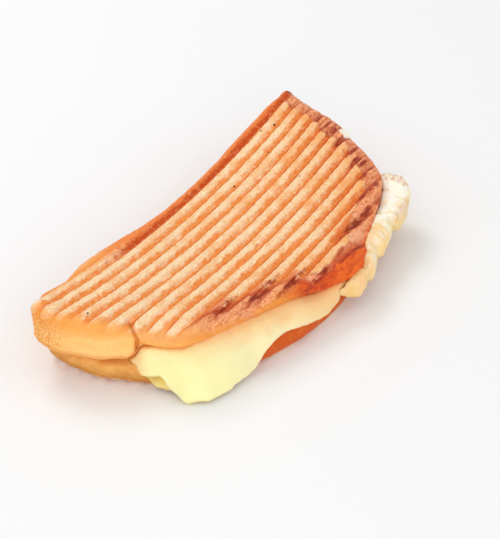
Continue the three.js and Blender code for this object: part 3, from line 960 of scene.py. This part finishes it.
browner = along.step(110, 200) * across.step(8, 50) * 0.5
browner = browner + past.step(-24, -1) * along.step(20, 110) * 0.9
bread = pressed_bread(crust, browner)
blotches = crust.noise(8, 3.0, (0.7, 1.0, 1.0)).step(0.54, 0.72) * along.step(80, 150)
bread = crust.mix(blotches * 0.5, bread, GROOVE_ORANGE)
warm = (crust.stored("warm") + wobble * 0.9 + grit * 1.2).step(0.25, 0.9)
bread = crust.mix(warm * 0.75, bread, crust.mix(along.step(15, 40), NEAR_WARM, WARM))
near_edge = (across + wobble * 5.0).step(7.0, 1.5) * along.step(8, 24) * 0.7
bread = crust.mix(near_edge, bread, NEAR_WARM)
back = (across + wobble * 2.5).step(10.4, 8.4) * (along + wobble * 40.0).step(50, 80)
back_colour = crust.mix((across + wobble * 5.0).step(3.5, 7.5), BACK_ORANGE, BACK_BROWN)
back_colour = crust.mix(crust.noise(1.8, 3.0).step(0.5, 0.7) * 0.45, back_colour, SALMON)
crust.say("after browning")

# %% [markdown]
# ## The blistered band
# Past the ribs the crust is salmon, with pale specks in a brown network. The pale specks are
# painted highlights on the blisters, and a few pink patches are painted sheen. Small cells give
# the specks, and noise pulled out along the ribs breaks up the network.

# %% Blistered band
PAINTED_HIGHLIGHT_SPECK = colour(255, 206, 168)
SALMON_NET = colour(212, 108, 62)
BAND_GOLD = colour(252, 182, 104)
SHEEN_PINK = colour(255, 190, 150)

cells = crust.cells(1.4) + crust.noise(1.1, 2.0) * 0.5 - 0.25
# Pale specks: painted highlights on the blisters.
salmon = crust.mix(cells.step(0.42, 0.15) * 0.65, SALMON, PAINTED_HIGHLIGHT_SPECK)
hatch = crust.noise(1.8, 3.0, (0.3, 1.0, 1.0))
salmon = crust.mix((cells + hatch - 0.5).step(0.45, 0.85) * 0.65, salmon, SALMON_NET)
# Pink patches of painted sheen, where the crust shines.
greasy = (crust.stored("greasy") + wobble).step(0.2, 0.8)
salmon = crust.mix(greasy * 0.5, salmon, SHEEN_PINK)
salmon = crust.mix((along + wobble * 18.0).step(48, 26) * 0.8, salmon, BAND_GOLD)
crust.say("with the band")

# %% [markdown]
# ## The side of the crust
# The side is gold at the near end and deepens to red-brown where it fried. Uneven brushed noise
# keeps the red in streaks, and a paler glow is left low down.

# %% Side of the crust
RIM_GOLD = colour(244, 152, 56)
SIDE_GOLD = colour(252, 180, 92)
SIDE_ORANGE = colour(246, 138, 38)
SIDE_DEEP = colour(242, 106, 28)
SIDE_GLOW = colour(250, 152, 76)
SIDE_RED = colour(202, 62, 14)

side = crust.mix((along + wobble * 12.0).step(30, 56), SIDE_GOLD, SIDE_ORANGE)
side = crust.mix((along + wobble * 14.0).step(74, 94), side, SIDE_DEEP)
mottled = crust.noise(3.0, 4.0, rough=0.6)
side = crust.mix(mottled.step(0.48, 0.7) * 0.45, side, SIDE_ORANGE)
fried = (outer + wobble * 6.0).step(4.0, -0.5) * along.step(84, 100)
fried = fried.most((along + wobble * 16.0).step(122, 100) * 0.7) + mottled.step(0.5, 0.3) * 0.4
brushed = crust.noise(2.4, 3.0, (0.35, 0.8, 1.0), 0.6)
fried = fried * 0.6 + brushed.step(0.44, 0.62) * 0.55
side = crust.mix(fried * along.step(76, 92), side, SIDE_RED)
glow = (deep + wobble * 5.0).step(9.5, 13) * along.step(84, 100) * brushed.step(0.62, 0.42)
side = crust.mix(glow * 0.7, side, SIDE_GLOW)
on_side = ((outer + wobble * 4.0).step(-4.0, 0.8)).most((deep + wobble * 2.5).step(6, 9))
crust_colour = crust.mix(on_side, salmon, side)
rim = (outer + wobble * 4.0 + grit).step(-6.0, -2.0) * along.step(20, 34) * along.step(96, 80)
crust_colour = crust.mix(rim * 0.7, crust_colour, RIM_GOLD)
crust.say("with its side")

# %% [markdown]
# ## Scores on the band
# Where the ribs still touched the band they left dark red scores, and at the far end the crust is
# hatched with them. They fade out past the ribs.

# %% Scores on the band
SCORCH = colour(180, 62, 26)

off = beside_line(across).size() + (hatch - 0.5) * 2.5
far_end = along.step(150, 185)
score = off.step(1.4, 0.2) * crust.noise(9, 2.0, (0.5, 1.0, 1.0)).step(0.42, 0.6).most(far_end)
score = score * (1.0 - on_side) * past.step(14, 5) * along.step(44, 58)
crust_colour = crust.mix(hatch.step(0.4, 0.62) * far_end * 0.55, crust_colour, SALMON_NET)
crust_colour = crust.mix(score * 0.8, crust_colour, SCORCH)
crust.say("with the scores")

# %% [markdown]
# ## The pillow
# It is smooth and golden, with faint level streaks, finely pitted on top where it meets the ribs.
# Its lowest lip is darker with painted shade, in the seam above the bottom slice.

# %% Pillow
PILLOW_TOP = colour(250, 172, 86)
PILLOW_PALE = colour(255, 206, 130)
PILLOW_BROWN = colour(234, 146, 66)

streaks = crust.noise(3.2, 3.0, (0.2, 0.2, 1.0)).step(0.4, 0.7)
pillow_colour = crust.mix((deep + wobble * 4.0).step(3, 11), PILLOW_TOP, PILLOW_PALE)
pillow_colour = crust.mix(streaks * 0.35 + grit.step(0.0, 0.15) * 0.3, pillow_colour, PILLOW_TOP)
pits = crust.noise(1.1, 3.0).step(0.42, 0.6) * 0.75
pitted = (across + wobble * 14.0).step(30, 12) * (0.2 + pits)
pillow_colour = crust.mix(pitted, pillow_colour, PILLOW_BROWN)
# Darker low on the pillow where it meets the bottom slice: painted shade in the seam.
pillow_colour = crust.mix((deep + wobble * 3.0).step(16, 20) * 0.5, pillow_colour, PILLOW_BROWN)
crust_colour = crust.mix(on_pillow, crust_colour, pillow_colour)
crust.say("with the pillow")

# %% [markdown]
# ## Edges, scorches and the crease
# The scorched streaks and the end of each groove are dark red, because the sugar in the crust
# burnt there. One far corner is charred. The crease of the fold is painted darker as shade,
# darkest deep down where it meets the bottom slice.

# %% From ribs to crust
soft_end = along.step(34, 16)
turn_over = (past + wobble * (soft_end * 5.0 + 1.2)) / (soft_end * 5.0 + 1.0)
turn_over = turn_over.step(-0.5, 0.6)
colours = crust.mix(turn_over.most(deep.step(3, 5)), bread, crust_colour)
colours = crust.mix(back * deep.step(6, 3), colours, back_colour)
rib_end = (past + wobble * 2.0).size().step(1.5, 0.2) * along.step(70, 130) * deep.step(4, 2)
rib_end = rib_end * crust.noise(5, 3.0).step(0.42, 0.6)
near_line = (past - 0.8 + wobble * 1.4 + grit * 0.6).size().step(1.7, 0.4) * deep.step(4, 2)
near_line = near_line * along.step(28, 40) * along.step(110, 80)
colours = crust.mix(near_line * 0.85, colours, GROOVE_RED)
colours = crust.mix(rib_end * 0.7, colours, SCORCH)
crust.say("with its edges")

# %% Scorches and the crease
SCORCH_DARK = colour(130, 42, 16)
CHARRED = colour(96, 48, 30)
CREASE_SHADE = colour(216, 122, 42)
CREASE_DEEP_SHADE = colour(150, 80, 32)

scorched = crust.stored("scorched") * (1.0 + (hatch - 0.5) * 3.4 + wobble * 1.4 + grit * 1.6)
colours = crust.mix(scorched.step(0.1, 1.0) * 0.85, colours, SCORCH)
colours = crust.mix(scorched.step(0.8, 1.5) * 0.85, colours, SCORCH_DARK)
charred = crust.stored("charred") * (1.0 + wobble * 2.2 + grit * 1.4)
colours = crust.mix(charred.step(0.15, 0.9) * 0.9, colours, CHARRED)
# The crease is painted darker as shade, darkest deep down where it meets the bottom slice.
crease = crust.stored("crease")
crease_shade = crust.mix(deep.step(13, 19), CREASE_SHADE, CREASE_DEEP_SHADE)
colours = crust.mix((crease + wobble * 0.3).step(0.3, 0.85) * 0.8, colours, crease_shade)
crust.say("with its marks")

# %% [markdown]
# ## Gloss and fine relief
# The crust shines a little where fat reached it, and the ribs are dry. Light goes a short way
# into bread, so its shadows are warm. A fine bump gives the crumb that is too small to model.

# %% Gloss and fine relief of the crust
BREAD_LIGHT = {"Subsurface_Radius": (0.004, 0.002, 0.001), "Subsurface_Scale": 1.0}

gloss = turn_over * (1.0 - on_pillow)
crust.set(Base_Color=colours, Roughness=0.75 - gloss * 0.3, Coat_Weight=gloss * 0.1)
crust.set(Specular_IOR_Level=0.18, Coat_Roughness=0.25, Subsurface_Weight=0.08, **BREAD_LIGHT)
fine = crust.noise(0.8, 4.0, rough=0.6) + crust.noise(2.2, 3.0) * 0.6
crust.bump(fine * (1.0 - on_pillow * 0.7), 0.5, 0.75)
crust.on(top)

# %% [markdown]
# ## The lower crust
# Paler at the near end, where the heat hardly reached it, and a strong orange brown under the
# cheese, where it fried in its own fat. Low on the near walls it is darker with painted shade,
# and the lowest edge is the darkest.

# %% Bottom crust
LOWER_PALE = colour(246, 186, 102)
LOWER_TAN = colour(222, 136, 56)
LOWER_ORANGE = colour(210, 86, 8)
LOWER_SHADE = colour(190, 118, 40)
LOWER_BROWN = colour(160, 76, 30)

lower = FoodFinish("lower_toast")
height = lower.stored("height")
under_face = lower.stored("face")
bread = pressed_bread(lower, 0.4)
across = lower.across()
wobble = lower.noise(4, 3.0) - 0.5
side = (across + wobble * 12.0).step(62, 86)
mottled = lower.noise(4.5, 3.0, (0.6, 0.6, 1.0)).step(0.42, 0.64)
walls = lower.mix(mottled * 0.55, LOWER_PALE, LOWER_TAN)
fried = lower.mix(lower.noise(3, 3.0).step(0.45, 0.65) * 0.3, LOWER_ORANGE, LOWER_TAN)
walls = lower.mix(side, walls, fried)
# Darker low on the near walls: painted shade by the floor.
foot = (height + wobble * 5.0).step(13.0, 3.0) * (1.0 - side)
walls = lower.mix(foot * 0.85, walls, LOWER_SHADE)
rim = (height + wobble * 2.0).step(2.6, 0.5)
walls = lower.mix(rim * 0.6, walls, LOWER_BROWN)
lower.set(Base_Color=lower.mix(under_face, walls, bread), Roughness=0.62 - side * 0.12)
lower.set(Specular_IOR_Level=0.25, Subsurface_Weight=0.06, **BREAD_LIGHT)
lower.bump(lower.noise(0.9, 4.0, rough=0.6) + lower.noise(2.6, 3.0) * 0.6, 0.4, 0.6)
lower.on(bottom)

# %% [markdown]
# ## Cheese
# Light goes a little way into cheese, so it needs subsurface scattering, in a warm yellow. It
# is peach where it left the hot crust, with painted shade in the same peach up under the crust's
# edge, cream on the swell, and most yellow low down.

# %% What all the cheese shares
CHEESE_PEACH = colour(253, 200, 136)
CHEESE_CREAM = colour(255, 236, 184)
CHEESE_YELLOW = colour(255, 245, 180)
CHEESE_LIGHT = {"Subsurface_Radius": (0.006, 0.004, 0.0018), "Subsurface_Scale": 1.0}


def milky(finish, roughness):
    """Light inside the cheese, and a soft sheen on it."""
    finish.set(Subsurface_Weight=0.35, Specular_IOR_Level=0.3, **CHEESE_LIGHT)
    finish.set(Roughness=roughness, Coat_Weight=0.1, Coat_Roughness=0.3)


print("light goes", [round(reach / MM, 1) for reach in CHEESE_LIGHT["Subsurface_Radius"]], "mm in")

# %% Melted cheese
CHEESE_ORANGE = colour(250, 172, 92)
CHEESE_GOLD = colour(236, 196, 96)
CHEESE_PALE_GOLD = colour(254, 226, 138)

melt = FoodFinish("melted_cheese")
height = melt.stored("height")
along = melt.stored("along")
across = melt.stored("across")
gap = melt.stored("gap")
wobble = melt.noise(8, 2.0) - 0.5
yellow = (along + wobble * 14.0).step(60, 24)
colours = melt.mix(yellow, CHEESE_CREAM, CHEESE_YELLOW)
# Peach near the crust is the cheese's own tint there, with painted shade under the crust's edge.
peach_and_shade = (gap + wobble * 10.0).step(13.0, 2.5) * (0.25 + along.step(28, 54) * 0.75)
# The upper zone, under the crust, is painted peach as shade.
peach_and_shade = peach_and_shade.most((across + wobble * 6.0).step(60, 54) * 0.65)
colours = melt.mix(peach_and_shade, colours, CHEESE_PEACH)
colours = melt.mix((gap + wobble * 3.0).step(2.4, 0.4) * 0.75, colours, CHEESE_ORANGE)
fried_edge = (along + wobble * 24.0).step(70, 104)
colours = melt.mix(fried_edge * 0.7, colours, CHEESE_PEACH)
# The skirt is pale gold low down, and darker gold up under the sheet's lip, which is painted
# shade.
skirt_gold_and_shade = melt.mix((height + wobble * 4.0).step(3.5, 7.5), CHEESE_PALE_GOLD, CHEESE_GOLD)
colours = melt.mix(melt.stored("skirt"), colours, skirt_gold_and_shade)
foot = (height + wobble * 2.5).step(3.2, 0.3)
colours = melt.mix(foot * 0.6, colours, CHEESE_GOLD)
melt.set(Base_Color=colours)
milky(melt, 0.38)
melt.bump(melt.noise(6, 2.0) + melt.noise(1.4, 2.0) * 0.1, 0.4, 0.3)
melt.on(cheese)

# %% [markdown]
# ## White and gold cheese
# It is nearly white at the top, partly with a painted highlight, and yellow low down, with golden
# veins that run down its sheets. The pleats are darker gold with painted shade.
# Only its thin edges browned.

# %% White and yellow of the fold
CHEESE_WHITE = colour(255, 248, 230)
FOLD_GOLD = colour(246, 206, 122)

folds = FoodFinish("folded_cheese")
deep = folds.stored("deep")
along = folds.stored("along")
across = folds.stored("across")
gap = folds.stored("gap")
wobble = folds.noise(4, 3.0) - 0.5
# Nearly white at the top: the cheese's own pale tone, with a painted highlight in it.
colours = folds.mix((deep + wobble * 4.0).step(9, 12), CHEESE_WHITE, CHEESE_CREAM)
colours = folds.mix((deep + wobble * 4.0).step(12.5, 16) * 0.8, colours, CHEESE_YELLOW)
stripes = folds.noise(7, 2.0, (1.0, 1.0, 0.3)).step(0.35, 0.65)
peachy = (along + wobble * 10.0).step(168, 158) * (0.4 + stripes * 0.4)
colours = folds.mix(peachy, colours, CHEESE_PEACH)
colours = folds.mix((along + wobble * 8.0).step(138, 128) * 0.6, colours, CHEESE_PEACH)
veins = folds.noise(3.6, 3.0, (1.0, 1.0, 0.2)).step(0.5, 0.66)
veins = veins * (along + wobble * 10.0).step(192, 172)
colours = folds.mix(veins * 0.55, colours, FOLD_GOLD)
# Darker gold along the pleats is painted shade.
colours = folds.mix(folds.stored("pleat").step(0.3, 0.95) * 0.4, colours, FOLD_GOLD)
folds.say("with its veins")

# %% Browned edges of the fold
CHEESE_BROWN = colour(204, 138, 76)

edges = (across + wobble * 3.0).step(100, 103) * along.step(166, 174)
browned = (folds.stored("browned_top") + wobble * 0.5).step(0.4, 0.9)
browned = browned * (0.25 + folds.noise(2.2, 3.0, rough=0.6).step(0.45, 0.62) * 0.75)
browned = browned.most(edges * 0.5).most((deep + wobble * 4.0).step(17.5, 20) * 0.6)
browned = browned.most((gap + wobble * 3.0).step(2.6, 0.6) * along.step(150, 125))
colours = folds.mix(browned * 0.75, colours, CHEESE_BROWN)
folds.set(Base_Color=colours)
milky(folds, 0.36)
folds.bump(folds.noise(4, 3.0), 0.5, 0.4)
folds.on(fold)

# %% [markdown]
# ## Char and the bead
# The crumbs are burnt almost black. The bead is pale cheese, a little browned on its back. Both
# are too small to show much relief, so colour does most of the work.

# %% Small finishes
CHAR = colour(74, 40, 22)
CHAR_BROWN = colour(132, 76, 38)

char = FoodFinish("charred_crumb")
burnt = char.mix(char.noise(0.5, 3.0).step(0.4, 0.65), CHAR, CHAR_BROWN)
char.set(Base_Color=burnt, Roughness=0.8)
char.bump(char.noise(0.3, 3.0), 0.1, 0.6)
char.on(burnt_crumbs)

beaded = FoodFinish("beaded_cheese")
peachy = beaded.mix(beaded.noise(2.5, 3.0).step(0.45, 0.7), CHEESE_WHITE, CHEESE_PEACH)
beaded.set(Base_Color=peachy)
milky(beaded, 0.4)
beaded.bump(beaded.noise(1.5, 2.0), 0.3, 0.4)
beaded.on(bead)

# %% [markdown]
# ## The floor
# A plain matt white surface, so that nothing tints the food.

# %% Floor finish
plain = Finish("pale_floor")
plain.set(Base_Color=colour(246, 246, 246), Roughness=0.9)
plain.on(floor)

# %% [markdown]
# ## Pieces on the body
# Each piece rides on the one body. The four large ones take the place of their solids.

# %% Pieces and solids
for piece, node, slot in (
    (top, "top_slice", "top_toast"),
    (bottom, "bottom_slice", "bottom_toast"),
    (cheese, "cheese_layer", "melted_cheese"),
    (fold, "cheese_fold", "folded_cheese"),
):
    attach(piece, "root")
    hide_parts(node)
for piece, slot in ((burnt_crumbs, "top_toast"), (bead, "folded_cheese")):
    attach(piece, "root")
for piece in (top, bottom, cheese, fold, burnt_crumbs, bead):
    triangles = sum(len(face.vertices) - 2 for face in piece.data.polygons)
    print(piece.name, "has", triangles, "triangles")
